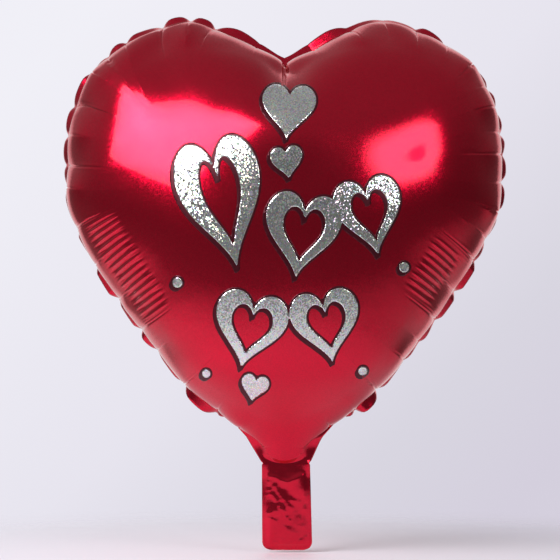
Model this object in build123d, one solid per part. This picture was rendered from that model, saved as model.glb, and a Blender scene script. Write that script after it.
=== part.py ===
from build123d import *
from math import cos, hypot, pi, sin
import os

# Heart-shaped foil balloon, inflated and held upright at its neck.
# Millimetres. +X is the balloon's width, +Z is up, and the printed front faces -Y.
# The origin is the middle of the neck, on the line where the filling tail folds.
#
# Two sheets of metallised film are welded together round a flat border and filled with gas.
# The tail below the neck is the filling spout, flat and welded round its edge. A valve of two
# plies of clear film runs from the slit in the back of the tail, through the neck, into the
# body. Film is flexible everywhere; here it is divided along the neck, where the tail folds.

# --- driving dimensions ---
BODY_WIDTH = 348.0          # across the inflated body, weld to weld
BODY_TOP = 354.0            # lobe tops above the neck line
NOTCH_HEIGHT = 321.0        # bottom of the notch between the lobes
DEPTH = 190.0               # front crown to back crown
NOSE_BOTTOM = 6.0           # lowest point of the inflated body
CROWN_HEIGHT = 212.0        # height of both crowns
FILM = 0.4                  # film, thicker than the real 0.05 so that it is a sound solid
WELD_WIDTH = 6.5            # flat border outside the inflated body
NECK_WIDTH = 43.0
FOLD_GAP = 1.2              # from the fold line to the film above and below it

TAIL_WIDTH = 40.0
TAIL_FOOT = 71.0            # foot of the tail below the neck line
TAIL_CORNER = 7.0
TAIL_WELD = 4.0             # welded border down the tail's sides and along its foot
TAIL_PUFF = 1.3             # how far the unwelded middle of each tail sheet stands off
POCKET_TOP = 8.0            # top of that unwelded middle below the neck line
POCKET_TAPER = 55.0         # slope of its edges, in degrees

VALVE_PLY = 0.2
VALVE_WIDTH = 28.0
VALVE_LIP_WIDTH = 22.0
VALVE_REACH = 88.0          # the valve's open lips above the neck line
VALVE_FOOT = 58.0           # the valve's closed end below the neck line
CHANNEL_WIDTH = 30.0        # passage through the neck that the valve fills
CHANNEL_TOP = 16.0          # where the body is wide enough to clear the valve
INLET_WIDTH = 15.0          # lens-shaped filling slit in the back of the tail
INLET_HEIGHT = 5.0
INLET_DROP = 46.0           # its middle below the neck line

# --- shape of the bulge ---
PROFILE_POWER = 2.12        # a little fuller than an ellipse, as inflated film is
SECTIONS = 8                # sections that each bulge is lofted through
LAST_SECTION = 0.95         # how far the last one is round the quarter profile
ROUND_X = 150.0             # half width and half height of the oval that the heart fades to
ROUND_Z = 142.0

# Right half of the weld's inner edge, from the notch round the lobe to the nose at the neck.
WELD_HALF = [
    (0.0, NOTCH_HEIGHT),
    (9.0, NOTCH_HEIGHT + 5.0),
    (48.0, BODY_TOP - 8.2),
    (84.0, BODY_TOP),
    (137.3, 328.5),
    (165.6, 289.2),
    (BODY_WIDTH / 2, 243.0),
    (166.9, 191.9),
    (129.9, 126.1),
    (77.4, 71.5),
    (42.0, 43.5),
    (22.0, 25.5),
    (13.0, 11.5),
    (0.0, NOSE_BOTTOM),
]
WELD_LOOP = WELD_HALF + [(-x, z) for x, z in reversed(WELD_HALF[1:-1])]
FIRST_RIM_POINT = 2         # the border's outer edge follows the weld from here
LAST_RIM_POINT = 10         # to here, and then sweeps in to the neck
RIM_NOTCH = (0.0, NOTCH_HEIGHT + 7.5)
RIM_WEB = (32.0, 22.0)
RIM_NECK = (NECK_WIDTH / 2, FOLD_GAP)


def front_plane(y=0.0):
    """Sketch plane at depth y, with +X across, +Z up and its normal towards the front."""
    return Plane(origin=(0, y, 0), x_dir=(1, 0, 0), z_dir=(0, -1, 0))


def pushed(index, distance):
    """Point of the weld loop moved outwards, square to the line through its neighbours."""
    ax, az = WELD_LOOP[index - 1]
    bx, bz = WELD_LOOP[(index + 1) % len(WELD_LOOP)]
    span = hypot(bx - ax, bz - az)
    x, z = WELD_LOOP[index]
    return (x - distance * (bz - az) / span, z + distance * (bx - ax) / span)


def section(share, y, inset):
    """Heart shrunk towards the crown by share, rounder as it shrinks, at depth y."""
    heart = share ** 1.5
    points = []
    for x, z in WELD_LOOP:
        rise = z - CROWN_HEIGHT
        reach = hypot(x / ROUND_X, rise / ROUND_Z)
        scale = share * (heart + (1 - heart) / reach) - inset / hypot(x, rise)
        points.append((scale * x, CROWN_HEIGHT + scale * rise))
    return front_plane(y) * Wire([Spline(*points, periodic=True)])


def bulge(inset):
    """Solid front half of the inflated body, inset all over by a thickness of film."""
    depth = DEPTH / 2 - inset
    wires = []
    for i in range(SECTIONS):
        turn = LAST_SECTION * (pi / 2) * i / (SECTIONS - 1)
        share = cos(turn) ** (2 / PROFILE_POWER)
        y = -depth * sin(turn) ** (2 / PROFILE_POWER)
        wires.append(section(share, y, inset))
    return Solid.make_loft(wires)


def border():
    """Flat welded border, from inside the bulge's own film out to the cut edge."""
    side = [pushed(i, WELD_WIDTH) for i in range(FIRST_RIM_POINT, LAST_RIM_POINT + 1)]
    right = Spline(RIM_NOTCH, *side, RIM_WEB, RIM_NECK, tangents=((1, 0.55), (-0.4, -1)))
    foot = Line(RIM_NECK, (-RIM_NECK[0], RIM_NECK[1]))
    outside = make_face([right, foot, mirror(right, Plane.YZ)])
    inside = [pushed(i, -FILM / 2) for i in range(len(WELD_LOOP))]
    return extrude(front_plane() * (outside - make_face(Spline(*inside, periodic=True))), FILM)


def slab(width, low, high, thickness):
    """Flat block against the weld plane, on its front side, between two heights."""
    outline = Pos(0, (low + high) / 2) * Rectangle(width, high - low)
    return extrude(front_plane() * outline, thickness)


def body_panel():
    """Front sheet of the body: bulge, welded border, and the neck raised over the valve."""
    shell = bulge(0.0) - bulge(FILM)
    raised = slab(CHANNEL_WIDTH + 2 * FILM, FOLD_GAP, CHANNEL_TOP, FILM + VALVE_PLY)
    channel = slab(CHANNEL_WIDTH, FOLD_GAP, CHANNEL_TOP, VALVE_PLY)
    return border() + shell + (raised - bulge(FILM)) - channel


def tail_outline():
    """Tail sheet between the fold and its foot, with rounded lower corners."""
    sheet = Pos(0, -(FOLD_GAP + TAIL_FOOT) / 2) * Rectangle(TAIL_WIDTH, TAIL_FOOT - FOLD_GAP)
    return fillet(sheet.vertices().group_by(Axis.Y)[0], TAIL_CORNER)


def pocket(grow):
    """Puffed middle of a tail sheet, as a low block with sloping edges."""
    width = TAIL_WIDTH - 2 * TAIL_WELD + 2 * grow
    foot = TAIL_FOOT - TAIL_WELD + grow
    top = POCKET_TOP - grow
    outline = Pos(0, -(top + foot) / 2) * RectangleRounded(width, foot - top, TAIL_CORNER / 2 + grow)
    return extrude(front_plane() * outline, TAIL_PUFF + grow, taper=POCKET_TAPER)


def tail_panel():
    """Front sheet of the tail: flat border, puffed middle, raised over the valve at the top."""
    overlap = POCKET_TOP + 2.0
    raised = slab(CHANNEL_WIDTH + 2 * FILM, -overlap, -FOLD_GAP, FILM + VALVE_PLY)
    channel = slab(CHANNEL_WIDTH, -overlap, -FOLD_GAP, VALVE_PLY)
    sheet = extrude(front_plane() * tail_outline(), FILM)
    return sheet + pocket(FILM) + raised - pocket(0.0) - channel


def inlet():
    """Lens-shaped cutter for the filling slit."""
    lens = Pos(0, -INLET_DROP) * Ellipse(INLET_WIDTH / 2, INLET_HEIGHT / 2)
    return extrude(front_plane() * lens, TAIL_PUFF + 2 * FILM)


def valve_ply():
    """Front ply of the valve inside the body, from the neck up to its open lips."""
    half = VALVE_WIDTH / 2
    lip = VALVE_LIP_WIDTH / 2
    corners = [(-half, FOLD_GAP), (half, FOLD_GAP), (lip, VALVE_REACH), (-lip, VALVE_REACH)]
    return extrude(front_plane() * make_face(Polyline(*corners, close=True)), VALVE_PLY)


def inlet_ply():
    """Front ply of the valve inside the tail, from the neck down to its closed end."""
    return slab(VALVE_WIDTH, -VALVE_FOOT, -FOLD_GAP, VALVE_PLY)


def at_back(front):
    """The same sheet on the back of the balloon."""
    return mirror(front, Plane.XZ)


def build_nodes():
    panel = body_panel()
    tail = tail_panel()
    valve = valve_ply()
    inlet_sheet = inlet_ply()
    return {
        "front_panel": panel,
        "back_panel": at_back(panel),
        "tail_front_panel": tail,
        "tail_back_panel": at_back(tail - inlet()),
        "valve_front_ply": valve,
        "valve_back_ply": at_back(valve),
        "inlet_front_ply": inlet_sheet,
        "inlet_back_ply": at_back(inlet_sheet - inlet()),
    }


os.makedirs("parts", exist_ok=True)
for name, shape in build_nodes().items():
    export_step(shape, f"parts/{name}.step")
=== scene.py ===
import math

import bmesh
import bpy
import numpy as np
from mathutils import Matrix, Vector
from mathutils.bvhtree import BVHTree
from mathutils.geometry import delaunay_2d_cdt


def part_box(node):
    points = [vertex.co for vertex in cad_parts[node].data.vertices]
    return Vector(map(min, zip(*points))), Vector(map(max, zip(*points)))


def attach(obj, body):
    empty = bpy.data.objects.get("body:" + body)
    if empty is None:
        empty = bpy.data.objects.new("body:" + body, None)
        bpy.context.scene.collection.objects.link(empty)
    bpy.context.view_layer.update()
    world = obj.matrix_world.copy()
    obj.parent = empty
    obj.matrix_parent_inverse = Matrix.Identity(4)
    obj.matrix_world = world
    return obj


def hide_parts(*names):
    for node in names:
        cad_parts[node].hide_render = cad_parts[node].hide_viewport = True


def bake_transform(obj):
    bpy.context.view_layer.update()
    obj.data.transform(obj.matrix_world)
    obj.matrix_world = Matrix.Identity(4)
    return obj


# A heart-shaped balloon of red metallised film, in metres. The printed front faces -Y.
# Both sheets are cut flat, gathered along their weld and inflated by a cloth simulation.

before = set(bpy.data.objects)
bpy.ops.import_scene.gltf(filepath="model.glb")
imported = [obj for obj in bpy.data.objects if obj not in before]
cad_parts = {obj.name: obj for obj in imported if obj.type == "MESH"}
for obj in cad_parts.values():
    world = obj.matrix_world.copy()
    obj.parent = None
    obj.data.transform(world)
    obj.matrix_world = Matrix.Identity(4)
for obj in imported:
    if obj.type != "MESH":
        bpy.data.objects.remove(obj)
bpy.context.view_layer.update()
BODY_LOW, BODY_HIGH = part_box("front_panel")
TAIL_LOW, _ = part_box("tail_front_panel")

HALF_WIDTH = BODY_HIGH.x
TOP = BODY_HIGH.z
HALF_DEPTH = -BODY_LOW.y
MM = 0.001
SEED = 11

# ---------------------------------------------------------------- outlines
# Right half of the weld line, from the notch round the lobe to the nose at the neck, as shares
# of the balloon's half width and of its height: inflated, and as the sheets were cut.
WELD_HALF = [
    (0.0, 0.891), (0.1, 0.906), (0.266, 0.957), (0.465, 0.985), (0.765, 0.914),
    (0.924, 0.804), (0.964, 0.674), (0.919, 0.534), (0.709, 0.355), (0.445, 0.19),
    (0.253, 0.107), (0.117, 0.05), (0.088, 0.013), (0.0, -0.001),
]
CUT_HALF = [
    (0.0, 1.065), (0.13, 1.074), (0.415, 1.082), (0.648, 1.059), (0.965, 0.963),
    (1.11, 0.839), (1.169, 0.679), (1.143, 0.515), (0.908, 0.302), (0.605, 0.106),
    (0.338, 0.01), (0.14, -0.034), (0.092, -0.064), (0.0, -0.07),
]
KNOT_STEPS = 40             # straight steps between two points of a smooth outline

# Creases where the film is gathered along its weld: place as a share of the way round the weld
# line, clockwise from the notch, and how far each runs in from the weld, in mm.
CREASES = [
    (0.0, 76), (0.023, 34), (0.052, 42), (0.078, 30), (0.102, 50), (0.125, 36), (0.149, 56),
    (0.169, 34), (0.185, 48), (0.202, 32), (0.217, 66), (0.236, 34), (0.258, 52), (0.279, 34),
    (0.296, 66), (0.322, 36), (0.347, 66), (0.366, 30), (0.383, 40), (0.412, 58), (0.433, 32),
    (0.454, 40), (0.476, 26), (0.524, 26), (0.545, 34), (0.565, 42), (0.5945, 54), (0.626, 36),
    (0.644, 68), (0.672, 34), (0.701, 32), (0.730, 58), (0.760, 34), (0.776, 62), (0.797, 32),
    (0.818, 58), (0.845, 34), (0.861, 52), (0.8765, 30), (0.905, 48), (0.925, 30), (0.943, 42),
    (0.9755, 40),
]
CREASE_TAPER = 1.5          # how quickly the valley at a crease gets shallower
TUCK_TAPER = 0.7            # and how quickly its fine tucks do
FULL_REACH = 50.0           # a crease at least this long, in mm, is as deep as any
WELD_SCALLOP = 1.3 * MM     # how far the weld line bows out between creases
WELD_WAVE = 0.9 * MM        # and how far it waves to the front and back
SCALLOP_WIDTH = 4.0 * MM
CREASE_END = 0.4            # width of a crease's inner end, as a share of its width at the weld

COLUMN = 3.5 * MM           # film between two columns of the mesh at the weld
FINE_COLUMN = 1.3 * MM      # and where there are fine pleats
NECK_COLUMN = 1.6 * MM
FINE_ZONES = [(0.29, 0.352, FINE_COLUMN), (0.462, 0.538, NECK_COLUMN), (0.636, 0.738, FINE_COLUMN)]
CROWDING = 0.7              # how much closer the columns are beside a crease
ROWS = [1.6, 3.6, 6.2, 9.4, 13.0, 17.0, 21.5, 26.5, 32.0, 38.0, 44.5, 51.5, 59.0, 67.0]
RINGS = [(74.5, 2), (82.0, 3)]     # depths of the rows in mm, and of coarser rings
CORE_CELL = 8.0 * MM        # mesh beyond the last ring
CLEFT_COLUMNS = [0.0, 0.9, 2.0, 4.0, 7.0]      # finer mesh below the notch, in mm either side
CLEFT_CELLS = (8 * MM, 128 * MM, 3.2 * MM)  # from and to how far below it, and every how far
CLEFT_MARGIN = 1.5 * MM     # kept clear of other points beside that mesh
ROW_CLEARANCE = 0.93        # points nearer to another stretch of weld than this share are left out
RING_CLEARANCE = 0.95
RING_JITTER = 0.02          # random shift of a coarser ring's points, as a share of a column
CORE_CLEARANCE = 0.6        # cells between the last ring and the mesh beyond it


def in_metres(points):
    """Outline points from shares of the balloon's half width and height."""
    return np.array(points) * [HALF_WIDTH, TOP]


class Outline:
    """Closed smooth curve through a half outline and its mirror image, measured along itself."""

    def __init__(self, half):
        knots = np.vstack([half, half[1:-1][::-1] * [-1, 1]])
        steps = np.linspace(0, 1, KNOT_STEPS, endpoint=False)[:, None]
        dense = []
        for i in range(len(knots)):
            a, b, c, d = (knots[(i + k) % len(knots)] for k in (-1, 0, 1, 2))
            dense.append(0.5 * (2 * b + (c - a) * steps + (2 * a - 5 * b + 4 * c - d) * steps ** 2
                                + (3 * b - 3 * c + d - a) * steps ** 3))
        self.points = np.vstack(dense + [dense[0][:1]])
        lengths = np.linalg.norm(np.diff(self.points, axis=0), axis=1)
        self.along = np.concatenate([[0], np.cumsum(lengths)])
        self.length = self.along[-1]
        self.knots = np.append(self.along[:-1:KNOT_STEPS], self.length)

    def at(self, along):
        along = np.mod(along, self.length)
        return np.stack([np.interp(along, self.along, self.points[:, k]) for k in (0, 1)], 1)


def outward(loop, reach=2):
    """Unit vectors square to a closed clockwise loop of 2-D points, pointing out of it."""
    along = np.roll(loop, -reach, 0) - np.roll(loop, reach, 0)
    along /= np.linalg.norm(along, axis=1)[:, None]
    return np.stack([-along[:, 1], along[:, 0]], 1)


def inside(points, loop):
    """Which 2-D points are inside a closed loop."""
    x, z = points.T
    found = np.zeros(len(points), bool)
    for a, b in zip(loop, np.roll(loop, -1, 0)):
        crosses = (a[1] > z) != (b[1] > z)
        found ^= crosses & (x < (b[0] - a[0]) * (z - a[1]) / (b[1] - a[1] + 1e-18) + a[0])
    return found


def distance(points, loop):
    """Distance of 2-D points from a closed loop."""
    best = np.full(len(points), 1e9)
    for a, b in zip(loop, np.roll(loop, -1, 0)):
        ab = b - a
        share = np.clip((points - a) @ ab / (ab @ ab), 0, 1)
        best = np.minimum(best, np.linalg.norm(points - a - share[:, None] * ab, axis=1))
    return best


def smooth_step(value, low, high):
    share = np.clip((value - low) / (high - low), 0, 1)
    return share * share * (3 - 2 * share)


def new_mesh(name, places, faces):
    mesh = bpy.data.meshes.new(name)
    mesh.from_pydata(places, [], faces)
    return mesh


def read(items, name, width):
    """Array of one value or vector for each of a mesh's vertices."""
    values = np.zeros(len(items) * width)
    items.foreach_get(name, values)
    return values.reshape(-1, width)


def read_points(mesh):
    return read(mesh.vertices, "co", 3)


def read_normals(mesh):
    return read(mesh.vertex_normals, "vector", 3)


def read_values(mesh, name):
    return read(mesh.attributes[name].data, "value", 1)[:, 0]


def add_object(name, data):
    """New object in the scene that shows a mesh or is a camera."""
    made = bpy.data.objects.new(name, data)
    bpy.context.scene.collection.objects.link(made)
    return made


# ---------------------------------------------------------------- weld line
NECK_STRAIGHT = (0.02, 0.05)    # shares of the weld beside the neck over which it straightens


class Weld:
    """The weld's columns: where each lies on the cut sheets, and where it is gathered to."""

    def __init__(self):
        cut, filled = Outline(in_metres(CUT_HALF)), Outline(in_metres(WELD_HALF))
        self.length = filled.length
        self.places = np.array([share for share, _ in CREASES]) * filled.length
        self.reaches = np.array([reach for _, reach in CREASES]) * MM
        ends = np.append(self.places, self.places[0] + filled.length)
        along = []
        for start, end in zip(ends[:-1], ends[1:]):
            middle = (start + end) / 2 / filled.length % 1.0
            spacing = [size for low, high, size in FINE_ZONES if low < middle < high]
            count = max(4, round((end - start) / (spacing[0] if spacing else COLUMN)))
            steps = np.arange(count) / count
            crowding = 0.0 if spacing else CROWDING
            steps = steps - crowding * np.sin(2 * np.pi * steps) / (2 * np.pi)
            along += list(start + (end - start) * steps)
        along = np.mod(np.array(along), filled.length)
        along = np.roll(along, len(along) - np.argmin(along))
        self.count = len(along)
        self.along = along
        self.share = along / filled.length
        self.flat = cut.at(np.interp(along, filled.knots, cut.knots))
        base = filled.at(along)
        self.out = outward(base, 3)
        bow = WELD_SCALLOP * (1 - self.crease_depth(along, SCALLOP_WIDTH, 0.0, CREASE_TAPER))
        order = np.arange(len(CREASES))
        wave = np.interp(along, self.places, np.where(order % 2, 1.0, -1.0), period=filled.length)
        neck = 1 - smooth_step(np.abs(self.share - 0.5), *NECK_STRAIGHT)
        place = base + self.out * (bow * (1 - neck))[:, None]
        self.gathered = np.stack([place[:, 0], WELD_WAVE * wave * (1 - neck), place[:, 1]], 1)

    def crease_depth(self, along, width, depth, taper):
        """How deep the nearest creases are, from 0 to 1, at places along the weld and in from it."""
        result = np.zeros(np.broadcast(along, depth).shape)
        for place, reach in zip(self.places, self.reaches):
            away = np.abs((along - place + self.length / 2) % self.length - self.length / 2)
            left = np.clip(1 - depth / reach, 0, 1)
            strength = min(1.0, reach / (FULL_REACH * MM)) * left ** taper
            narrowed = width * (CREASE_END + (1 - CREASE_END) * left)
            result = np.maximum(result, strength * np.exp(-away / narrowed))
        return result

    def from_crease(self, along):
        """Distance of places along the weld from the nearest crease."""
        ends = np.concatenate([[self.places[-1] - self.length], self.places, [self.length]])
        after = np.clip(np.searchsorted(ends, along), 1, len(ends) - 1)
        return np.minimum(along - ends[after - 1], ends[after] - along)


# ---------------------------------------------------------------- inflating the body
SHEET_GAP = 0.8 * MM        # how far each flat sheet starts from the weld plane
PUFF = 12 * MM              # and how much further its middle starts
INFLATE_FRAMES = 34
GATHER_FRAMES = 18
FILM_CLOTH = {
    "quality": 6,
    "mass": 0.12,
    "tension_stiffness": 60,
    "compression_stiffness": 0,
    "shear_stiffness": 1,
    "bending_stiffness": 0.1,
    "tension_damping": 5,
    "compression_damping": 5,
    "shear_damping": 5,
    "bending_damping": 0.5,
    "air_damping": 2,
    "vertex_group_mass": "weld",
    "use_pressure": True,
    "uniform_pressure_force": 14.0,
}


class FlatSheet:
    """Triangulated sheet inside the cut weld line, with columns square to the weld."""

    def __init__(self, weld):
        rng = np.random.default_rng(SEED)
        loop = weld.flat
        out = outward(loop)
        groups = [loop]
        for depth in ROWS:
            row = loop - out * depth * MM
            row = row[inside(row, loop) & (distance(row, loop) > ROW_CLEARANCE * depth * MM)]
            groups.append(row)
        for depth, every in RINGS:
            row = (loop - out * depth * MM)[::every]
            row = row[inside(row, loop) & (distance(row, loop) > RING_CLEARANCE * depth * MM)]
            groups.append(row + rng.normal(0, RING_JITTER * COLUMN, row.shape))
        low, high = loop.min(0), loop.max(0)
        x, z = np.meshgrid(np.arange(low[0], high[0], CORE_CELL), np.arange(low[1], high[1], CORE_CELL))
        core = np.stack([x.ravel(), z.ravel()], 1)
        core = core[inside(core, loop)]
        groups.append(core[distance(core, loop) > RINGS[-1][0] * MM + CORE_CLEARANCE * CORE_CELL])
        near, far, every = CLEFT_CELLS
        below = loop[0, 1] - np.arange(near, far, every)
        across = np.array([-x for x in CLEFT_COLUMNS[:0:-1]] + CLEFT_COLUMNS) * MM
        cleft = np.stack(np.meshgrid(across, below), 2).reshape(-1, 2)
        others = np.vstack(groups[1:])
        beside = np.abs(others[:, 0]) < across[-1] + CLEFT_MARGIN
        beside &= others[:, 1] > below[-1] - every / 2
        points = [Vector(p) for p in np.vstack([loop, others[~beside], cleft])]
        n = weld.count
        rim = [(i, (i + 1) % n) for i in range(n)]
        found = delaunay_2d_cdt(points, rim, [list(range(n))], 1, 1e-6)
        self.points = np.array([tuple(p) for p in found[0]])
        self.faces = np.array(found[2])
        self.depth = distance(self.points, loop)
        self.column = np.array([np.argmin(((loop - p) ** 2).sum(1)) for p in self.points])


def inflate(weld, sheet):
    """Both sheets, welded round their rim, blown up while the weld gathers to its filled line.

    Returns the front sheet's points, then the back sheet's.
    """
    n, total = weld.count, len(sheet.points)
    height = SHEET_GAP + PUFF * smooth_step(sheet.depth, 0, 2 * RINGS[-1][0] * MM)
    height[:n] = 0
    start = np.zeros((2 * total - n, 3))
    start[:total, 0], start[:total, 2] = sheet.points.T
    start[:total, 1] = -height
    start[total:, 0], start[total:, 2] = sheet.points[n:].T
    start[total:, 1] = height[n:]
    back = np.concatenate([np.arange(n), np.arange(total, 2 * total - n)])
    faces = np.vstack([sheet.faces, back[sheet.faces][:, ::-1]])
    balloon = add_object("flat_sheets", new_mesh("flat_sheets", start.tolist(), faces.tolist()))
    balloon.vertex_groups.new(name="weld").add(list(range(n)), 1.0, "REPLACE")
    balloon.shape_key_add(name="flat")
    key = balloon.shape_key_add(name="gathered")
    for i, place in enumerate(weld.gathered):
        key.data[i].co = place
    frames = INFLATE_FRAMES
    for frame_number, value in ((1, 0.0), (GATHER_FRAMES, 1.0)):
        key.value = value
        key.keyframe_insert("value", frame=frame_number)
    cloth = balloon.modifiers.new("Cloth", "CLOTH")
    for setting, value in FILM_CLOTH.items():
        setattr(cloth.settings, setting, value)
    cloth.settings.effector_weights.gravity = 0
    cloth.collision_settings.use_collision = False
    cloth.point_cache.frame_end = frames + 1
    scene = bpy.context.scene
    for number in range(1, frames + 1):
        scene.frame_set(number)
    places = read_points(balloon.evaluated_get(bpy.context.evaluated_depsgraph_get()).to_mesh())
    scene.frame_set(1)
    bpy.data.objects.remove(balloon)
    return places[:total], places[back]


# ---------------------------------------------------------------- the two films
FILM = 0.12 * MM            # thickness shown
BORDER = 6.5 * MM           # welded border outside the weld line
BORDER_ROWS = 3
BORDER_FOLD = 19 * MM       # usual length of a flat facet of the border between two folds
FOLD_TILT = (66, 84)        # how far it leans back out of the weld plane at a fold, in degrees
FACET_TILT = (32, 66)       # and between folds, over most of the balloon
LOW_FACET_TILT = (0, 30)    # and beside the neck
LOW_ZONE = (0.075, 0.11)    # how far from the neck that ends, as shares of the weld
FACET_TWIST = 12            # how far a facet twists to either side, in degrees
FACET_LENGTHS = (0.6, 1.45)     # shortest and longest facet, in usual lengths
LAST_FACET = 1.6            # what is left at the end, at most, in usual lengths
FACET_SPAN = (0.22, 0.8)    # shares of the way along a facet between which it is flat
NOTCH_TILT = 14             # lean where the border is drawn smooth beside the notch
NOTCH_SMOOTH = (0.045, 0.06)    # how far from the notch that ends, as shares of the weld
NOTCH_EXTRA = 0.5           # how much wider the border shows there
NOTCH_WIDENS = (0.0, 0.022)     # and where it widens,
NOTCH_NARROWS = (0.038, 0.056)  # and narrows again, as shares of the weld from the notch
LOW_EXTRA = 0.45            # and how much wider beside the neck
NECK_KNOTS = (10, 11, 12, 13)
NECK_RIM = [(0.257, 0.107), (0.170, 0.058), (0.108, 0.0), (0.0, 0.0)]   # border's edge at those knots
NECK_SHIFT_END = 20 * MM    # height up to which it shifts sideways with the tail
NECK_BLEND = 12 * MM        # length of weld over which it takes over from the folded border
NECK_WAVE = 0.35            # share of the border's lean that is left there
SMOOTHING = 150             # pairs of passes that even out each simulated sheet
SMOOTHING_STEPS = (0.6, -0.612)     # share of the way to its neighbours' mean in each of a pair
NEIGHBOUR_WEIGHTS = (0.02, 10)      # least and most weight of one neighbour in that mean
FAIRING = 23 * MM           # reach of the fit that takes long waves out of its middle
FAIRING_CUTOFF = 6          # square of the distance, in reaches, past which points don't count
FAIRED_FROM = (24 * MM, 48 * MM)    # depths between which the fit takes over

PILLOW = 2.3 * MM           # how far the film swells between creases
PILLOW_RISE = 7 * MM        # how far in from the weld it is fully swollen
PILLOW_START = -0.2 * PILLOW_RISE   # the rise is cut off at the weld, so that it starts steeply
PILLOW_FADE = (8 * MM, 48 * MM)
CREASE_WIDTH = 2.8 * MM
TUCK = 0.75 * MM            # height of the fine parallel tucks along a crease
TUCK_WIDTH = 2.6 * MM       # how far to its sides they spread
TUCK_SPACING = 2.3 * MM
TUCK_RISE = 5 * MM          # how far in from the weld they are fully raised
TUCK_FREE = (3 * MM, 8 * MM)    # how far from the valley below the notch they start, and are full
CLEFT = 2.6 * MM            # depth and half width of the valley below the notch
CLEFT_WIDTH = 1.0 * MM
CLEFT_RISE = 6 * MM         # how far in from the weld it is full
CLEFT_FADE = (0.81, 0.85)   # it fades out between these shares of the height
NOSE_SLIM = 0.56            # how much flatter the film is at the neck than it was blown up
NOSE_FADE = (6 * MM, 84 * MM)

TAIL_FOOT = TAIL_LOW.z
TAIL_HALF = (0.0195, 0.0203)    # half width at the neck and at the foot
TAIL_SHIFT = (0.0012, 0.0023)   # and how far its middle leans to the right
TAIL_ROWS = 66
TAIL_LEAN = 5 * MM          # how far back the foot hangs
TAIL_BEND = 1.15            # 1 where the tail hangs straight, more where it curves
TAIL_KICK = 1.1 * MM        # how far it bends back just below the neck
TAIL_KICK_END = 14 * MM
TAIL_WAVE = 0.35 * MM       # height and length of its slow waves
TAIL_WAVE_LENGTH = 7 * MM
TAIL_WAVE_SLANT = 2.5       # how far a wave slants from the middle to a side, in radians
TAIL_WAVE_RISE = 12 * MM    # how far below the neck they are full
TAIL_CORNER = 7 * MM
TAIL_WELD = 4 * MM
TAIL_STAND = 0.05 * MM      # how far each sheet is from the middle where it is welded
TAIL_PUFF = 1.7 * MM        # and how much further where it isn't
TAIL_PUFF_RISE = 15 * MM    # how far below the neck that is full
TAIL_SIDE_STEP = (0.85 * TAIL_WELD, 1.25 * TAIL_WELD)   # where it rises, in from a side,
TAIL_FOOT_STEP = (0.9 * TAIL_WELD, 1.35 * TAIL_WELD)    # and up from the foot
CRUMPLES = [(45, 2.2 * MM), (230, 1.0 * MM)]    # flat facets: how many corners, and how high
CRUMPLED_AREA = [(-0.03, 1.15 * TAIL_FOOT), (0.03, 0.01)]   # opposite corners of what they fill
CRUMPLED_FROM = (5 * MM, 16 * MM)   # how far below the neck they start, and are full
CRUMPLE_LEVEL = 0.4         # share of their height that lies below the plain sheet
TAIL_FOLDS = [(-13, -10, 1, -16), (1, -16, 14, -9), (-8, -5, -2, -3), (-2, -3, 7, -5),
              (-14, -22, -2, -40), (-9, -19, 3, -37)]   # ends of its sharp folds, in mm
TAIL_FOLD = 0.6 * MM        # height and half width of those
TAIL_FOLD_WIDTH = 2.6 * MM
SLIT = (0.0075, 0.0025, -0.046)     # half width, half height and place of the filling slit
SLIT_SNAP = 2.2             # rim points nearer than this, in half slits, are moved to its edge
JOIN_FOLD = 40              # most degrees between two triangles that become one quad,
JOIN_SKEW = 50              # and that the quad's corners may be off square

LADDERS = [(0.298, 0.347), (0.644, 0.730)]  # stretches of the weld with fine parallel pleats
PLEAT = 5.4 * MM
PLEAT_HEIGHT = 0.65 * MM
PLEAT_SHARPNESS = 0.3               # share of a wave of half the length that narrows its ridge
PLEAT_REACH = (32 * MM, 70 * MM)
PLEAT_ENDS = (6 * MM, 9 * MM)       # over which a pleat rises at its outer end and sinks at its inner
PLEAT_UNEVEN = 4 * MM               # how far those ends are staggered,
PLEAT_STAGGER = 1.2                 # and how many times that goes round from one to the next
LADDER_ENDS = 0.012                 # share of the weld over which a ladder's first and last pleats rise


def evened(points, sheet, fixed):
    """A simulated sheet with its small wrinkles smoothed out; the first points stay."""
    ends, others, weights = [], [], []
    for k in range(3):
        i, j, across = (sheet.faces[:, (k + step) % 3] for step in (0, 1, 2))
        a, b = sheet.points[i] - sheet.points[across], sheet.points[j] - sheet.points[across]
        turn = np.maximum(np.abs(a[:, 0] * b[:, 1] - a[:, 1] * b[:, 0]), 1e-12)
        weight = np.clip((a * b).sum(1) / turn, *NEIGHBOUR_WEIGHTS)
        ends += [i, j]
        others += [j, i]
        weights += [weight, weight]
    ends, others, weights = (np.concatenate(part) for part in (ends, others, weights))
    total = np.bincount(ends, weights, minlength=len(points))
    for step in range(2 * SMOOTHING):
        sums = [np.bincount(ends, weights * points[others, k], minlength=len(points)) for k in range(3)]
        change = np.stack(sums, 1) / total[:, None] - points
        change[:fixed] = 0
        points = points + SMOOTHING_STEPS[step % 2] * change
    return points


def faired(points, sheet, first):
    """A sheet whose middle is replaced, point by point, by a smooth surface fitted around it."""
    share = smooth_step(sheet.depth, *FAIRED_FROM)
    result = points.copy()
    for i in range(first, len(points)):
        if share[i] == 0:
            continue
        away = (sheet.points - sheet.points[i]) / FAIRING
        square = (away ** 2).sum(1)
        near = np.flatnonzero(square < FAIRING_CUTOFF)
        weight = np.exp(-square[near] / 2)
        u, v = away[near].T
        basis = np.stack([np.ones(len(near)), u, v, u * u, u * v, v * v], 1)
        weighted = basis * weight[:, None]
        fitted = np.linalg.solve(weighted.T @ basis, weighted.T @ points[near])
        result[i] += share[i] * (fitted[0] - points[i])
    return result


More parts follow.
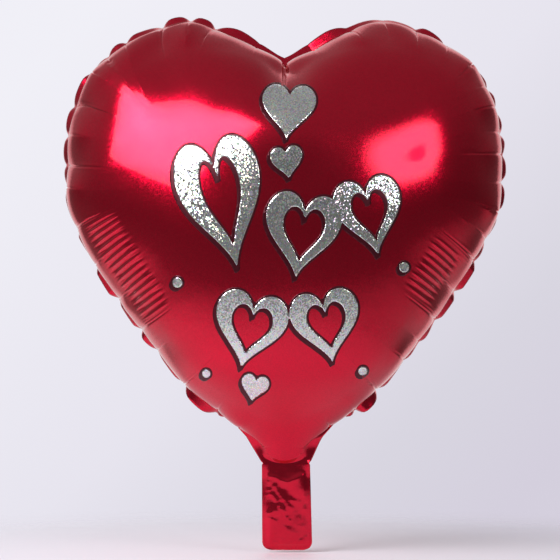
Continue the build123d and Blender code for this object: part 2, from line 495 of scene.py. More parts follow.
def body_sheets(weld, sheet):
    """Points of the front and back sheets: inflated to the CAD depth, smooth, and slim at the nose."""
    sides = inflate(weld, sheet)
    for points in sides:
        points[weld.count:, 1] *= (HALF_DEPTH - FILM) / np.abs(points[:, 1]).max()
    both = np.hstack([evened(points, sheet, weld.count) for points in sides])
    both = faired(both, sheet, weld.count)
    sides = (both[:, :3].copy(), both[:, 3:].copy())
    for points in sides:
        slim = NOSE_SLIM * (1 - smooth_step(points[weld.count:, 2], *NOSE_FADE))
        points[weld.count:, 1] *= 1 - slim
    return sides


def border_lean(weld, from_notch, rng):
    """How far each column's border leans back: most at folds, less on the facets between."""
    ends = [0.0]
    while ends[-1] < weld.length - LAST_FACET * BORDER_FOLD:
        ends.append(ends[-1] + BORDER_FOLD * rng.uniform(*FACET_LENGTHS))
    ends = np.array([weld.places[np.argmin(np.abs(weld.places - end))] for end in ends])
    ends = np.append(np.unique(ends), weld.length)
    starts = ends[:-1]
    width = ends[1:] - starts
    low = smooth_step(np.abs((starts + width / 2) / weld.length - 0.5), *LOW_ZONE)
    usual, beside_neck = (rng.uniform(*tilts, len(starts)) for tilts in (FACET_TILT, LOW_FACET_TILT))
    facet = usual * low + beside_neck * (1 - low)
    twist = rng.uniform(-FACET_TWIST, FACET_TWIST, len(starts))
    fold = rng.uniform(*FOLD_TILT, len(starts))
    stops = np.column_stack([starts] + [starts + share * width for share in FACET_SPAN]).ravel()
    tilts = np.column_stack([fold, facet - twist, facet + twist]).ravel()
    tilt = np.interp(weld.along, stops, tilts, period=weld.length)
    smooth = 1 - smooth_step(from_notch, *NOTCH_SMOOTH)
    return np.radians(tilt * (1 - smooth) + NOTCH_TILT * smooth)


class Border:
    """Flat welded border outside the weld line, folded at creases, and the strip at the neck."""

    def __init__(self, weld):
        rng = np.random.default_rng(SEED + 1)
        filled = Outline(in_metres(WELD_HALF))
        knots = filled.knots[list(NECK_KNOTS)]
        rim = in_metres(NECK_RIM)
        mirrored = np.where(weld.along > knots[-1], 2 * knots[-1] - weld.along, weld.along)
        neck = np.stack([np.interp(mirrored, knots, rim[:, k]) for k in (0, 1)], 1)
        neck[:, 0] *= np.where(weld.along > knots[-1], -1, 1)
        neck[:, 0] += TAIL_SHIFT[0] * (1 - smooth_step(neck[:, 1], 0, NECK_SHIFT_END))
        at_neck = smooth_step(mirrored, knots[0] - NECK_BLEND, knots[0])
        from_notch = np.minimum(weld.share, 1 - weld.share)
        tilt = border_lean(weld, from_notch, rng)
        low = 1 - smooth_step(np.abs(weld.share - 0.5), *LOW_ZONE)
        wide = smooth_step(from_notch, *NOTCH_WIDENS) * (1 - smooth_step(from_notch, *NOTCH_NARROWS))
        width = BORDER * (1 + NOTCH_EXTRA * wide + LOW_EXTRA * low)[:, None]
        out = np.stack([weld.out[:, 0] * np.cos(tilt), np.sin(tilt), weld.out[:, 1] * np.cos(tilt)], 1)
        edge = weld.gathered + out * width
        flat = np.stack([neck[:, 0], NECK_WAVE * edge[:, 1], neck[:, 1]], 1)
        edge = edge * (1 - at_neck[:, None]) + flat * at_neck[:, None]
        self.nose = np.flatnonzero(mirrored >= knots[2] - 1e-9)
        edge[self.nose, 1] = 0
        shares = np.arange(1, BORDER_ROWS + 1) / BORDER_ROWS
        self.rows = [weld.gathered * (1 - s) + edge * s for s in shares]


def crumple(x, z, count, rng):
    """Crumpled height, from 0 to 1: flat facets between random points of a tail sheet."""
    low, high = np.array(CRUMPLED_AREA)
    spots = rng.uniform(low, high, (count, 2))
    corners = np.array([low, (high[0], low[1]), high, (low[0], high[1])])
    spots = np.vstack([spots, corners])
    heights = rng.uniform(0, 1, len(spots))
    made = delaunay_2d_cdt([Vector(p) for p in spots], [], [], 0, 1e-6)
    result = np.zeros(len(x))
    for face in made[2]:
        a, b, c = (np.array(made[0][i]) for i in face)
        turn = (b[0] - a[0]) * (c[1] - a[1]) - (c[0] - a[0]) * (b[1] - a[1])
        u = ((x - a[0]) * (c[1] - a[1]) - (c[0] - a[0]) * (z - a[1])) / turn
        v = ((b[0] - a[0]) * (z - a[1]) - (x - a[0]) * (b[1] - a[1])) / turn
        within = (u >= -1e-9) & (v >= -1e-9) & (u + v <= 1 + 1e-9)
        values = [heights[made[3][i][0]] for i in face]
        plane = values[0] * (1 - u - v) + values[1] * u + values[2] * v
        result[within] = plane[within]
    return result


def tail_middle(z, u):
    """How far back the tail lies between its two sheets, at height z and u of its half width."""
    wave = TAIL_WAVE * np.sin(z / TAIL_WAVE_LENGTH + TAIL_WAVE_SLANT * u)
    wave *= smooth_step(-z, 0, TAIL_WAVE_RISE)
    bend = TAIL_KICK * smooth_step(-z, 0, TAIL_KICK_END)
    return TAIL_LEAN * (np.minimum(z, 0) / TAIL_FOOT) ** TAIL_BEND + bend + wave


def tail_points(across, side):
    """Rows of points of one tail sheet below the neck; across runs from -1 to 1."""
    rng = np.random.default_rng(SEED + 2 + side)
    share, u = np.meshgrid(np.arange(1, TAIL_ROWS + 1) / TAIL_ROWS, across, indexing="ij")
    share = share.ravel()
    u = u.ravel()
    z = TAIL_FOOT * share
    from_foot = z - TAIL_FOOT
    inset = np.clip(TAIL_CORNER - from_foot, 0, TAIL_CORNER)
    half = TAIL_HALF[0] + (TAIL_HALF[1] - TAIL_HALF[0]) * share
    half = half - TAIL_CORNER + np.sqrt(np.maximum(TAIL_CORNER ** 2 - inset ** 2, 0))
    flat_x = u * half
    x = flat_x + TAIL_SHIFT[0] + (TAIL_SHIFT[1] - TAIL_SHIFT[0]) * share
    free = smooth_step(half - np.abs(flat_x), *TAIL_SIDE_STEP)
    free *= smooth_step(from_foot, *TAIL_FOOT_STEP)
    free *= smooth_step(-z, 0, TAIL_PUFF_RISE)
    crumpled = sum(high * (crumple(flat_x, z, count, rng) - CRUMPLE_LEVEL) for count, high in CRUMPLES)
    crumpled = crumpled * smooth_step(-z, *CRUMPLED_FROM)
    for x0, z0, x1, z1 in TAIL_FOLDS:
        start, along = np.array([x0, z0]) * MM, np.array([x1 - x0, z1 - z0]) * MM
        away = np.stack([flat_x, z], 1) - start
        part = np.clip(away @ along / (along @ along), 0, 1)
        away = np.linalg.norm(away - part[:, None] * along, axis=1)
        crumpled = crumpled + TAIL_FOLD * np.clip(1 - away / TAIL_FOLD_WIDTH, 0, 1)
    height = TAIL_STAND + free * (TAIL_PUFF + crumpled)
    y = tail_middle(z, u) + (height if side else -height)
    return np.stack([x, y, z], 1)


def strip(above, below):
    """Quads between two rows of a mesh's points, given by their numbers, round a closed loop."""
    return np.stack([above, below, np.roll(below, -1), np.roll(above, -1)], 1)


def film_cage(points, sheet, weld, border, side):
    """One film's mesh before subdivision: body sheet, border and tail sheet, in one piece."""
    start = len(points)
    row = np.arange(weld.count)
    quads = []
    for _ in border.rows:
        below = start + np.arange(weld.count)
        quads.append(strip(row, below))
        row = below
        start += weld.count
    nose = border.nose
    across = border.rows[-1][nose, 0] - TAIL_SHIFT[0]
    tail = tail_points(across / np.abs(across).max(), side)
    row = row[nose]
    for _ in range(TAIL_ROWS):
        below = start + np.arange(len(nose))
        quads.append(strip(row, below)[:-1])
        row = below
        start += len(nose)
    places = np.vstack([points, *border.rows, tail])
    mesh = new_mesh("film", places.tolist(), sheet.faces.tolist() + np.vstack(quads).tolist())
    turn = 2 * np.pi * np.concatenate([weld.share[sheet.column], np.tile(weld.share, len(border.rows))])
    turn = np.concatenate([turn, np.zeros(len(tail))])
    depth = np.full(len(places), -1.0)
    depth[:len(points)] = sheet.depth
    for name, values in (("turn_x", np.cos(turn)), ("turn_y", np.sin(turn)), ("depth", depth)):
        mesh.attributes.new(name, "FLOAT", "POINT").data.foreach_set("value", values)
    return mesh


def join_quads(mesh):
    """Joins pairs of triangles and turns every face the same way."""
    work = bmesh.new()
    work.from_mesh(mesh)
    bmesh.ops.recalc_face_normals(work, faces=work.faces)
    bmesh.ops.join_triangles(work, faces=work.faces, angle_face_threshold=math.radians(JOIN_FOLD),
                             angle_shape_threshold=math.radians(JOIN_SKEW))
    work.to_mesh(mesh)
    work.free()


def cut_slit(mesh):
    """Cuts the lens-shaped filling slit out of a tail sheet."""
    half_width, half_height, height = SLIT
    work = bmesh.new()
    work.from_mesh(mesh)

    def reach(vertex):
        return math.hypot(vertex.co.x / half_width, (vertex.co.z - height) / half_height)

    bmesh.ops.delete(work, geom=[v for v in work.verts if reach(v) < 1], context="VERTS")
    for vertex in work.verts:
        if vertex.is_boundary and reach(vertex) < SLIT_SNAP:
            share = reach(vertex)
            vertex.co.x /= share
            vertex.co.z = height + (vertex.co.z - height) / share
    work.to_mesh(mesh)
    work.free()


def apply_modifiers(thing):
    """Replaces a mesh object's mesh by the one that its modifiers make."""
    shown = thing.evaluated_get(bpy.context.evaluated_depsgraph_get())
    mesh = bpy.data.meshes.new_from_object(shown)
    thing.modifiers.clear()
    thing.data = mesh


def thicken(surface, thickness):
    """Gives a surface thickness on its outer side, and smooth shading."""
    thick = surface.modifiers.new("thick", "SOLIDIFY")
    thick.thickness = thickness
    thick.offset = 1.0
    apply_modifiers(surface)
    surface.data.shade_smooth()


def add_creases(mesh, weld, side):
    """Swells the film between the creases of its weld, and adds the front's fine pleats."""
    depth = read_values(mesh, "depth")
    turn = np.arctan2(read_values(mesh, "turn_y"), read_values(mesh, "turn_x"))
    along = np.mod(turn / (2 * np.pi), 1.0) * weld.length
    swell = smooth_step(depth, PILLOW_START, PILLOW_RISE) * (1 - smooth_step(depth, *PILLOW_FADE))
    swell = swell - smooth_step(0.0, PILLOW_START, PILLOW_RISE)
    swell = np.maximum(swell, 0) * (1 - weld.crease_depth(along, CREASE_WIDTH, depth, CREASE_TAPER))
    height = PILLOW * swell
    places = read_points(mesh)
    tucks = weld.crease_depth(along, TUCK_WIDTH, depth, TUCK_TAPER) * smooth_step(depth, 0, TUCK_RISE)
    tucks *= smooth_step(np.abs(places[:, 0]), *TUCK_FREE)
    height -= TUCK * tucks * np.cos(2 * np.pi * weld.from_crease(along) / TUCK_SPACING)
    if side == 0:
        for low, high in LADDERS:
            share = along / weld.length
            fade = smooth_step(share, low, low + LADDER_ENDS)
            fade *= 1 - smooth_step(share, high - LADDER_ENDS, high)
            near, far = PLEAT_REACH
            uneven = PLEAT_UNEVEN * np.sin(PLEAT_STAGGER * 2 * np.pi * along / PLEAT)
            fade *= smooth_step(depth + uneven, near, near + PLEAT_ENDS[0])
            fade *= 1 - smooth_step(depth + uneven, far - PLEAT_ENDS[1], far)
            turn = 2 * np.pi * along / PLEAT
            height += PLEAT_HEIGHT * fade * (np.cos(turn) + PLEAT_SHARPNESS * np.cos(2 * turn))
    cleft = smooth_step(depth, 0, CLEFT_RISE) * smooth_step(places[:, 2] / TOP, *CLEFT_FADE)
    height -= CLEFT * cleft * np.exp(-np.abs(places[:, 0]) / CLEFT_WIDTH)
    height[depth <= 0] = 0
    places += read_normals(mesh) * height[:, None]
    mesh.vertices.foreach_set("co", places.ravel())
    mesh.update()


def subdivide(thing):
    smooth = thing.modifiers.new("smooth", "SUBSURF")
    smooth.levels = 1
    apply_modifiers(thing)


def make_film(name, points, sheet, weld, border, side):
    """One finished film, with its inner face at the cage, and a copy of that face alone."""
    mesh = film_cage(points, sheet, weld, border, side)
    join_quads(mesh)
    if side:
        cut_slit(mesh)
    film = add_object(name, mesh)
    subdivide(film)
    facing = read_normals(film.data)[:, 1].sum()
    if (facing > 0) != bool(side):
        film.data.flip_normals()
    add_creases(film.data, weld, side)
    surface = film.data.copy()
    thicken(film, FILM)
    return film, surface


# ---------------------------------------------------------------- the valve and the print
VALVE_THICKNESS = 0.03 * MM
VALVE_STAND = 0.05 * MM             # how far each ply is from the weld plane
VALVE_HALF = (14 * MM, 11 * MM)     # half width below, and at the open lips inside the body
VALVE_ENDS = (-58 * MM, 88 * MM)
VALVE_GRID = (74, 12)               # mesh cells up it and across it
VALVE_RIPPLE = 0.25 * MM            # height and length of its ripples inside the body
VALVE_RIPPLE_LENGTH = 11 * MM
VALVE_RIPPLE_RISE = (12 * MM, 30 * MM)

PRINT_AREA = ((-96, 106), (44, 310))    # what the motif lies in, in mm: across, and up
PRINT_CELL = 1.5 * MM
CROSSING = (0.06, 0.94)                 # least and most share of a cell's side that an edge cuts off
PRINT_STAND = (0.06 * MM, 0.13 * MM)    # how far the dark and silver inks are from the film
PRINT_THICKNESS = 0.03 * MM
PRINT_EDGE = 1.7 * MM                   # dark edge all round the silver
PRINT_SHADOW = (-1.9 * MM, -2.1 * MM)   # and the dark shadow's shift
SHADOW_EDGE = 0.6 * PRINT_EDGE          # and how much larger than the silver it is
# Hearts of the motif, in mm: middle across and up, width, height, lean in degrees.
OPEN_HEARTS = [
    (-48, 207, 67, 104, 13), (13, 182, 59, 67, -8), (67, 197, 53, 62, 12),
    (-28, 108, 57, 61, -12), (33, 111, 54, 58, 10),
]
SOLID_HEARTS = [(3, 279, 42, 45, -4), (2, 239, 25, 26, 8), (-24, 62, 22, 23, -12)]
DOTS = [(94, 158, 4.0), (-84, 146, 4.0), (62, 76, 3.6), (-62, 74, 3.4)]
HOLE = 0.64                             # about the size of an open heart's hole
HOLE_INSETS = (2.3, 2.0)                # how much narrower and lower it is, in ring widths
HOLE_SHIFT = (0.9, 0.3)                 # and how far it is off the middle, in mm


def make_valve_ply(name, side):
    """One ply of the clear valve, from its closed end in the tail to its open lips."""
    rows, columns = VALVE_GRID
    z = np.linspace(*VALVE_ENDS, rows + 1)
    half = VALVE_HALF[0] + (VALVE_HALF[1] - VALVE_HALF[0]) * smooth_step(z, 0, VALVE_ENDS[1])
    u = np.linspace(-1, 1, columns + 1)
    x = half[:, None] * u + TAIL_SHIFT[0]
    tall = np.repeat(z[:, None], columns + 1, 1)
    ripple = VALVE_RIPPLE * np.sin(tall / VALVE_RIPPLE_LENGTH) * (1 - u ** 2)
    ripple *= smooth_step(tall, *VALVE_RIPPLE_RISE)
    y = tail_middle(tall, u) + ripple + (VALVE_STAND if side else -VALVE_STAND)
    places = np.stack([x, y, tall], 2).reshape(-1, 3)
    index = np.arange(len(places)).reshape(rows + 1, columns + 1)
    faces = np.stack([index[:-1, :-1], index[:-1, 1:], index[1:, 1:], index[1:, :-1]], 2).reshape(-1, 4)
    mesh = new_mesh(name, places.tolist(), faces.tolist())
    if side:
        cut_slit(mesh)
        mesh.flip_normals()
    ply = add_object(name, mesh)
    thicken(ply, VALVE_THICKNESS)
    return ply


def heart_curve(x, z, width, height, lean, steps=72):
    """Closed heart outline about its middle, in metres."""
    t = 2 * np.pi * np.arange(steps) / steps
    across = np.sin(t) ** 3 * width / 2
    up = (13 * np.cos(t) - 5 * np.cos(2 * t) - 2 * np.cos(3 * t) - np.cos(4 * t) + 2.5) / 29 * height
    turn = math.radians(lean)
    across, up = (across * math.cos(turn) - up * math.sin(turn),
                  across * math.sin(turn) + up * math.cos(turn))
    return np.stack([x + across, z + up], 1) * MM


def heart_distance(points, x, z, width, height, lean):
    """Distance of 2-D points outside a heart; negative inside it."""
    loop = heart_curve(x, z, width, height, lean)
    gap = distance(points, loop)
    return np.where(inside(points, loop), -gap, gap)


def motif(points):
    """Distance of 2-D points outside the silver motif; negative inside it."""
    best = np.full(len(points), 1.0)
    for x, z, width, height, lean in OPEN_HEARTS:
        outer = heart_distance(points, x, z, width, height, lean)
        thick = (1 - HOLE) / 2 * (width + height) / 2
        hole = heart_distance(points, x + HOLE_SHIFT[0], z + HOLE_SHIFT[1],
                              width - HOLE_INSETS[0] * thick, height - HOLE_INSETS[1] * thick, lean)
        best = np.minimum(best, np.maximum(outer, -hole))
    for heart in SOLID_HEARTS:
        best = np.minimum(best, heart_distance(points, *heart))
    for x, z, radius in DOTS:
        best = np.minimum(best, np.linalg.norm(points - [x * MM, z * MM], axis=1) - radius * MM)
    return best


def region_mesh(name, field, x, z):
    """Flat mesh of the part of a grid where a field is negative, with a smooth edge."""
    within = field < 0
    places, numbers = [], {}

    def number(a, b):
        """Number of the mesh's point where the edge crosses from corner a to b, or of a corner."""
        key = (min(a, b), max(a, b))
        if key not in numbers:
            (i, j), (k, m) = key
            share = 0 if a == b else np.clip(field[i, j] / (field[i, j] - field[k, m]), *CROSSING)
            numbers[key] = len(places)
            places.append((x[i] + share * (x[k] - x[i]), 0.0, z[j] + share * (z[m] - z[j])))
        return numbers[key]

    faces = []
    for i in range(len(x) - 1):
        for j in range(len(z) - 1):
            ring = [(i, j), (i + 1, j), (i + 1, j + 1), (i, j + 1)]
            face = []
            for a, b in zip(ring, ring[1:] + ring[:1]):
                if within[a]:
                    face.append(number(a, a))
                if within[a] != within[b]:
                    face.append(number(a, b))
            if face:
                faces.append(face)
    return new_mesh(name, places, faces)


def make_print(name, field, x, z, surface, stand):
    """Ink in the shape of a region, laid on the front film."""
    mesh = region_mesh(name, field, x, z)
    places = read_points(mesh)
    for place in places:
        hit, normal, _, _ = surface.ray_cast(Vector((place[0], -1.0, place[2])), Vector((0, 1, 0)))
        place[:] = hit + normal * (FILM + stand)
    mesh.vertices.foreach_set("co", places.ravel())
    ink = add_object(name, mesh)
    thicken(ink, PRINT_THICKNESS)
    return ink


def make_prints(surface):
    """The dark and silver inks of the front's motif."""
    smooth = add_object("surface", surface)
    subdivide(smooth)
    target = BVHTree.FromObject(smooth, bpy.context.evaluated_depsgraph_get())
    bpy.data.objects.remove(smooth)
    x, z = (np.arange(low * MM, high * MM, PRINT_CELL) for low, high in PRINT_AREA)
    grid = np.stack(np.meshgrid(x, z, indexing="ij"), 2)
    flat = grid.reshape(-1, 2)
    silver = motif(flat)
    shadow = motif(flat - PRINT_SHADOW) - SHADOW_EDGE
    dark = np.minimum(silver - PRINT_EDGE, shadow)
    shape = (len(x), len(z))
    return (make_print("print_outline", dark.reshape(shape), x, z, target, PRINT_STAND[0]),
            make_print("print_silver", silver.reshape(shape), x, z, target, PRINT_STAND[1]))


# ---------------------------------------------------------------- the pieces
weld = Weld()
sheet = FlatSheet(weld)
front_points, back_points = body_sheets(weld, sheet)
border = Border(weld)
front_film, front_surface = make_film("front_film", front_points, sheet, weld, border, 0)
back_film, _ = make_film("back_film", back_points, sheet, weld, border, 1)
valve_front = make_valve_ply("valve_front_film", 0)
valve_back = make_valve_ply("valve_back_film", 1)
print_outline, print_silver = make_prints(front_surface)
STANDS_FOR = [
    (front_film, "red_film", ("front_panel", "tail_front_panel")),
    (back_film, "red_film_back", ("back_panel", "tail_back_panel")),
    (valve_front, "clear_film", ("valve_front_ply", "inlet_front_ply")),
    (valve_back, "clear_film", ("valve_back_ply", "inlet_back_ply")),
]
for piece, slot, nodes in STANDS_FOR:
    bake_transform(piece)
    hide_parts(*nodes)
for piece, slot in ((print_outline, "dark_print"), (print_silver, "silver_print")):
    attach(piece, "balloon")

# ---------------------------------------------------------------- materials
RED = (0.64, 0.0015, 0.028)
FOIL_ROUGHNESS = 0.16
LACQUER = 0.45
LACQUER_ROUGHNESS = 0.06
DARK_INK = (0.075, 0.004, 0.012)
INK_SHADE = (0.7, 1.3)          # least and most brightness of that ink
INK_CLOUDS = 160                # how often that changes in a metre
INK_METAL = 0.6
INK_ROUGHNESS = 0.3
MILKY = (0.86, 0.88, 0.9, 1)
MILKY_ALPHA = 0.55
MILKY_ROUGHNESS = (0.12, 0.4)
STREAKS = (300, 300, 30)        # how often they change in a metre: across, through and up
SPARKLE = 0.9 * MM              # size of one glint in the red film
SPARKLE_TILT = 0.035
SPARKLE_SHADE = (0.9, 1.1)      # least and most brightness of a glint
GLITTER = 0.85 * MM             # and of one in the silver ink
GLITTER_TILT = 0.28
GLITTER_TINT = (0.02, 0.34)     # least and most colour of a glint
GLITTER_SHADE = (0.6, 1.0)      # and its brightness


def fill(tree, made, inputs):
    """Sets a node's sockets to values, or joins them to the sockets of other nodes."""
    for socket, value in inputs.items():
        if isinstance(value, bpy.types.NodeSocket):
            tree.links.new(value, made.inputs[socket])
        else:
            made.inputs[socket].default_value = value


def node(tree, kind, inputs=None, **settings):
    """New shader node with its settings made and its sockets filled."""
    made = tree.nodes.new("ShaderNode" + kind)
    for name, value in settings.items():
        setattr(made, name, value)
    fill(tree, made, inputs or {})
    return made


def maths(tree, operation, *values):
    """Output of a maths node on sockets or numbers."""
    return node(tree, "Math", dict(enumerate(values)), operation=operation).outputs[0]


def spread(tree, value, low, high):
    """A socket's value from 0 to 1, stretched to run from low to high."""
    return node(tree, "MapRange", {"Value": value, "To Min": low, "To Max": high}).outputs[0]


def faded(tree, value, start, end, low, high):
    """Socket that runs smoothly from low to high as a value runs from start to end."""
    limits = {"Value": value, "From Min": start, "From Max": end, "To Min": low, "To Max": high}
    return node(tree, "MapRange", limits, interpolation_type="SMOOTHSTEP").outputs[0]


def shaded(tree, colour, shade):
    """A colour made lighter and darker by a socket's value."""
    return node(tree, "VectorMath", {0: colour, "Scale": shade}, operation="SCALE").outputs[0]


def place_on_piece(tree):
    return node(tree, "TexCoord").outputs["Object"]


def cells(tree, size):
    """Random colour for each small cell of the surface."""
    return node(tree, "TexVoronoi", {"Scale": 1 / size, "Vector": place_on_piece(tree)}).outputs["Color"]


def tilted_normal(tree, colour, tilt):
    """Surface normal, leaned a random way in each cell."""
    centred = node(tree, "VectorMath", {0: colour, 1: (0.5, 0.5, 0.5)}, operation="SUBTRACT").outputs[0]
    scaled = node(tree, "VectorMath", {0: centred, "Scale": tilt}, operation="SCALE").outputs[0]
    surface = node(tree, "NewGeometry").outputs["Normal"]
    leaned = node(tree, "VectorMath", {0: surface, 1: scaled}, operation="ADD").outputs[0]
    return node(tree, "VectorMath", {0: leaned}, operation="NORMALIZE").outputs[0]


def new_material(name):
    """Material with nodes; returns it, its node tree and its shader."""
    material = bpy.data.materials.new(name)
    material.use_nodes = True
    return material, material.node_tree, material.node_tree.nodes["Principled BSDF"]


def red_foil(name):
    """Metallised film under a clear red lacquer, with fine glints."""
    material, tree, shader = new_material(name)
    glints = cells(tree, SPARKLE)
    colour = shaded(tree, RED, spread(tree, glints, *SPARKLE_SHADE))
    fill(tree, shader, {"Base Color": colour, "Normal": tilted_normal(tree, glints, SPARKLE_TILT),
                        "Metallic": 1.0, "Roughness": FOIL_ROUGHNESS,
                        "Coat Weight": LACQUER, "Coat Roughness": LACQUER_ROUGHNESS})
    return material


def silver_glitter(name):
    """Holographic silver: glints that each lean their own way, faintly rainbow-coloured."""
    material, tree, shader = new_material(name)
    glints = cells(tree, GLITTER)
    hue, tint, shade = node(tree, "SeparateColor", {0: glints}).outputs
    levels = {0: hue, 1: spread(tree, tint, *GLITTER_TINT), 2: spread(tree, shade, *GLITTER_SHADE)}
    colour = node(tree, "CombineColor", levels, mode="HSV").outputs[0]
    fill(tree, shader, {"Base Color": colour, "Normal": tilted_normal(tree, glints, GLITTER_TILT),
                        "Metallic": 1.0, "Roughness": FOIL_ROUGHNESS})
    return material


def dark_ink(name):
    """Maroon ink over the foil, a little uneven."""
    material, tree, shader = new_material(name)
    cloud = node(tree, "TexNoise", {"Scale": INK_CLOUDS, "Vector": place_on_piece(tree)}).outputs["Fac"]
    colour = shaded(tree, DARK_INK, spread(tree, cloud, *INK_SHADE))
    fill(tree, shader, {"Metallic": INK_METAL, "Roughness": INK_ROUGHNESS, "Base Color": colour})
    return material


def clear_film(name):
    """Thin milky plastic, faintly streaked up and down."""
    material, tree, shader = new_material(name)
    fill(tree, shader, {"Base Color": MILKY, "Alpha": MILKY_ALPHA})
    stretched = node(tree, "Mapping", {"Scale": STREAKS, "Vector": place_on_piece(tree)})
    streaks = node(tree, "TexNoise", {"Scale": 1.0, "Vector": stretched.outputs[0]}).outputs["Fac"]
    fill(tree, shader, {"Roughness": spread(tree, streaks, *MILKY_ROUGHNESS)})
    return material


FINISHES = [
    (red_foil("red_foil"), (front_film, back_film)),
    (clear_film("clear_film"), (valve_front, valve_back)),
    (dark_ink("dark_ink"), (print_outline,)),
    (silver_glitter("silver_glitter"), (print_silver,)),
]
for material, pieces in FINISHES:
    for piece in pieces:
        piece.data.materials.clear()
        piece.data.materials.append(material)

# ---------------------------------------------------------------- camera, room and lights
CAMERA_DISTANCE = 2.4
CAMERA_PLACE = (-0.0036, 0.148)     # across and up
PICTURE_WIDTH = 0.453               # what the picture's width shows at the balloon
# Backdrop that the camera sees, from its upper left to its lower right: painted shade, darker away from
# the softbox.
BACKDROP = [(0.0, (0.875, 0.868, 0.93)), (0.5, (0.80, 0.78, 0.86)), (0.8, (0.69, 0.67, 0.75)),
            (1.0, (0.66, 0.625, 0.725))]
# Brightness of the room by height of the direction looked in, from -1 straight down to 1 up.
ROOM = [(-1.0, 1.0), (-0.76, 0.98), (-0.61, 0.76), (-0.46, 0.48), (-0.36, 0.22), (-0.12, 0.17),
        (0.1, 0.22), (0.35, 0.33), (0.7, 0.38), (1.0, 0.36)]
ROOM_SIDES = (-0.24, 0.94)          # how its brightness changes to the right, and in the middle
BEHIND = 0.85                       # brightness of the wall behind the balloon
BEHIND_FROM = (0.62, 0.76)          # how far back a direction points where that wall takes over
BACKDROP_SLANT = 3.3                # how quickly the backdrop's painted shade darkens it towards its lower right

SOFTBOX = [(-1.0, -0.24, 1.20), (-0.70, -0.57, 1.20), (-0.41, -1.08, 0.90), (-0.765, -1.12, 0.29),
           (-1.26, -0.395, 0.52)]
SOFTBOX_BRIGHTNESS = (4.5, 9.5)     # at its edge and its middle
SOFTBOX_STEP = 0.6                  # how far out it is halfway between the two
BRIGHTEST = 20.0                    # a panel can be no brighter
DISH_CENTRE = (0.90, -0.95, 0.52)
DISH_AIM = (0.1, -0.07, 0.25)       # place on the balloon that it faces
DISH_RADIUS = (0.35, 0.35)          # across and up
DISH_LAMP = (-0.30, -0.24)          # its lamp, in those radii from its middle
DISH_BRIGHTNESS = (0.8, 4.5, 0.6)   # in front of its lamp, round that, and at its edge
DISH_STEPS = (0.12, 0.25, 0.6)      # where the first ends, and the second starts and ends
DISH_TURNS = 48
FLOOR_HEIGHT = TAIL_FOOT - 2 * MM
FLOOR_COLOUR = (0.95, 0.90, 1.0, 1)
FLOOR_ROUGHNESS = 0.55
FLOOR_FADE = (0.12, 0.50)           # radii between which the floor gives way to the backdrop
FLOOR_MARGIN = 0.05                 # how much further its mesh reaches
FLOOR_GRID = (12, 64)               # rings and turns of that mesh


def add_camera():
    camera = bpy.data.cameras.new("camera")
    camera.lens = camera.sensor_width * CAMERA_DISTANCE / PICTURE_WIDTH
    viewer = add_object("camera", camera)
    viewer.location = (CAMERA_PLACE[0], -CAMERA_DISTANCE, CAMERA_PLACE[1])
    viewer.rotation_euler = (math.radians(90), 0, 0)
    bpy.context.scene.camera = viewer


def ramp(tree, place, stops):
    """Colour ramp, along a socket's value, through (position, brightness or colour) stops."""
    made = node(tree, "ValToRGB", {0: place})
    elements = made.color_ramp.elements
    while len(elements) < len(stops):
        elements.new(1.0)
    for element, (position, colour) in zip(elements, stops):
        element.position = position
        element.color = (*(colour if isinstance(colour, tuple) else (colour,) * 3), 1)
    return made


def add_room():
    """Pale studio seen by the camera, with painted shade that darkens it towards its lower right, and
    the darker room that the film reflects.
    """
    world = bpy.data.worlds.new("room")
    bpy.context.scene.world = world
    world.use_nodes = True
    tree = world.node_tree
    x, y, z = node(tree, "SeparateXYZ", {0: node(tree, "TexCoord").outputs["Generated"]}).outputs
    levels = [((level + 1) / 2, light) for level, light in ROOM]
    height = ramp(tree, maths(tree, "MULTIPLY_ADD", z, 0.5, 0.5), levels).outputs[0]
    sided = maths(tree, "MULTIPLY", height, maths(tree, "MULTIPLY_ADD", x, *ROOM_SIDES))
    behind = faded(tree, y, *BEHIND_FROM, 0.0, 1.0)
    room = node(tree, "Mix", {"Factor": behind, "A": sided, "B": BEHIND}, data_type="FLOAT").outputs[0]
    # painted shade: the backdrop seen by the camera darkens along this slant towards its lower right
    slant = maths(tree, "MULTIPLY_ADD", maths(tree, "SUBTRACT", x, z), BACKDROP_SLANT, 0.5)
    seen = node(tree, "LightPath").outputs["Is Camera Ray"]
    sides = {"Factor": seen, "A": room, "B": ramp(tree, slant, BACKDROP).outputs[0]}
    both = node(tree, "Mix", sides, data_type="RGBA").outputs["Result"]
    fill(tree, tree.nodes["Background"], {"Color": both})


def add_panel(name, corners, centre, brightness):
    """Glowing panel that the camera doesn't see; brightness runs from a place in it to its edge."""
    faces = [(i, (i + 1) % len(corners), len(corners)) for i in range(len(corners))]
    mesh = new_mesh(name, [tuple(corner) for corner in corners] + [tuple(centre)], faces)
    share = [1.0] * len(corners) + [0.0]
    mesh.attributes.new("from_middle", "FLOAT", "POINT").data.foreach_set("value", share)
    panel = add_object(name, mesh)
    material, tree, shader = new_material(name)
    tree.nodes.remove(shader)
    where = node(tree, "Attribute", attribute_name="from_middle").outputs["Fac"]
    level = ramp(tree, where, [(place, light / BRIGHTEST) for place, light in brightness])
    level.color_ramp.interpolation = "EASE"
    glow = node(tree, "Emission", {"Strength": maths(tree, "MULTIPLY", level.outputs[0], BRIGHTEST)})
    fill(tree, tree.nodes["Material Output"], {"Surface": glow.outputs[0]})
    mesh.materials.append(material)
    panel.visible_camera = False
    panel.visible_shadow = False


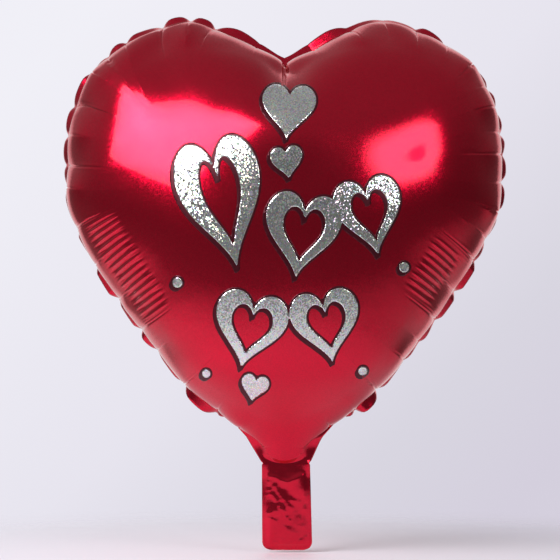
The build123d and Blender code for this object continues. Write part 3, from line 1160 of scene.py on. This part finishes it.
def add_lights():
    edge, middle = SOFTBOX_BRIGHTNESS
    middle_of_box = sum((Vector(corner) for corner in SOFTBOX), Vector()) / len(SOFTBOX)
    levels = [(0.0, middle), (SOFTBOX_STEP, (edge + middle) / 2), (1.0, edge)]
    add_panel("softbox", SOFTBOX, middle_of_box, levels)
    centre = Vector(DISH_CENTRE)
    facing = (centre - Vector(DISH_AIM)).normalized()
    across = facing.cross(Vector((0, 0, 1))).normalized()
    up = across.cross(facing)
    turns = [2 * math.pi * i / DISH_TURNS for i in range(DISH_TURNS)]
    wide, tall = DISH_RADIUS
    circle = [centre + wide * math.cos(turn) * across + tall * math.sin(turn) * up for turn in turns]
    lamp, round_lamp, edge = DISH_BRIGHTNESS
    lamp_place = centre + DISH_LAMP[0] * wide * across + DISH_LAMP[1] * tall * up
    levels = zip((0.0, *DISH_STEPS, 1.0), (lamp, lamp, round_lamp, round_lamp, edge))
    add_panel("dish", circle, lamp_place, list(levels))


def add_floor():
    """Pale floor, a little glossy, that gives way to the backdrop away from the balloon."""
    reach = FLOOR_FADE[1] + FLOOR_MARGIN
    rings, turns = FLOOR_GRID
    places = [(0.0, 0.0, FLOOR_HEIGHT)]
    for ring in range(1, rings + 1):
        radius = reach * ring / rings
        angles = [2 * math.pi * i / turns for i in range(turns)]
        places += [(radius * math.cos(a), radius * math.sin(a), FLOOR_HEIGHT) for a in angles]
    faces = [(0, 1 + i, 1 + (i + 1) % turns) for i in range(turns)]
    for ring in range(rings - 1):
        a, b = 1 + ring * turns, 1 + (ring + 1) * turns
        faces += [(a + i, b + i, b + (i + 1) % turns, a + (i + 1) % turns) for i in range(turns)]
    floor = add_object("floor", new_mesh("floor", places, faces))
    material, tree, shader = new_material("pale_floor")
    away = node(tree, "VectorMath", {0: place_on_piece(tree)}, operation="LENGTH").outputs["Value"]
    fill(tree, shader, {"Base Color": FLOOR_COLOUR, "Roughness": FLOOR_ROUGHNESS})
    fill(tree, shader, {"Alpha": faded(tree, away, *FLOOR_FADE, 1.0, 0.0)})
    floor.data.materials.append(material)


bpy.context.scene.view_settings.view_transform = "Standard"
add_camera()
add_room()
add_lights()
add_floor()
